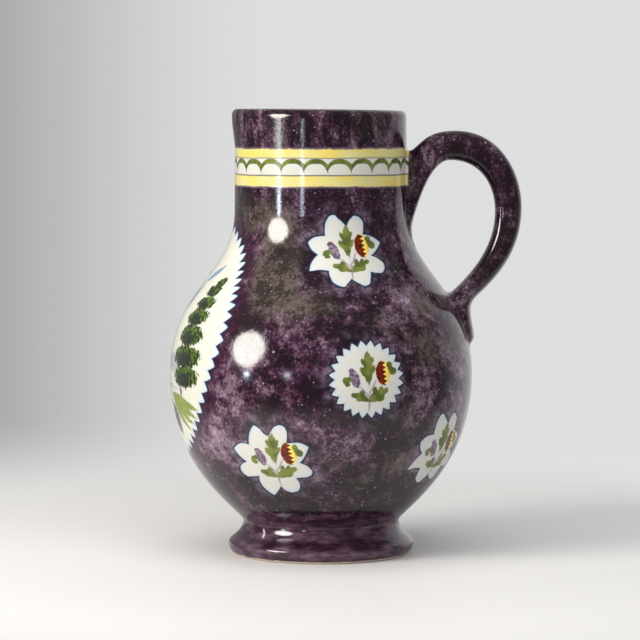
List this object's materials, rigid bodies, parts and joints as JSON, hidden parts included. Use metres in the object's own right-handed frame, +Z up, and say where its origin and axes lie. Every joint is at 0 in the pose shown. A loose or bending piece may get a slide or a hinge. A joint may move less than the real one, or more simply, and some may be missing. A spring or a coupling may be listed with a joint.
{
  "type": "jug",
  "caption": "Round-bellied ceramic jug on a turned foot, with a straight neck, a slight pouring lip and one loop handle; stands on its flat underside.",
  "frame": {"origin": "centre of the flat underside, on the axis that the jug was turned about", "axes": "+Z up along the turning axis, +X from the axis toward the handle, -X toward the pouring lip"},
  "size_m": [0.1582, 0.136, 0.2],
  "materials": {
    "glaze": "glossy tin glaze, dark purple sponged ground"
  },
  "bodies": {
    "root": {"jug": "glaze"}
  },
  "joints": []
}
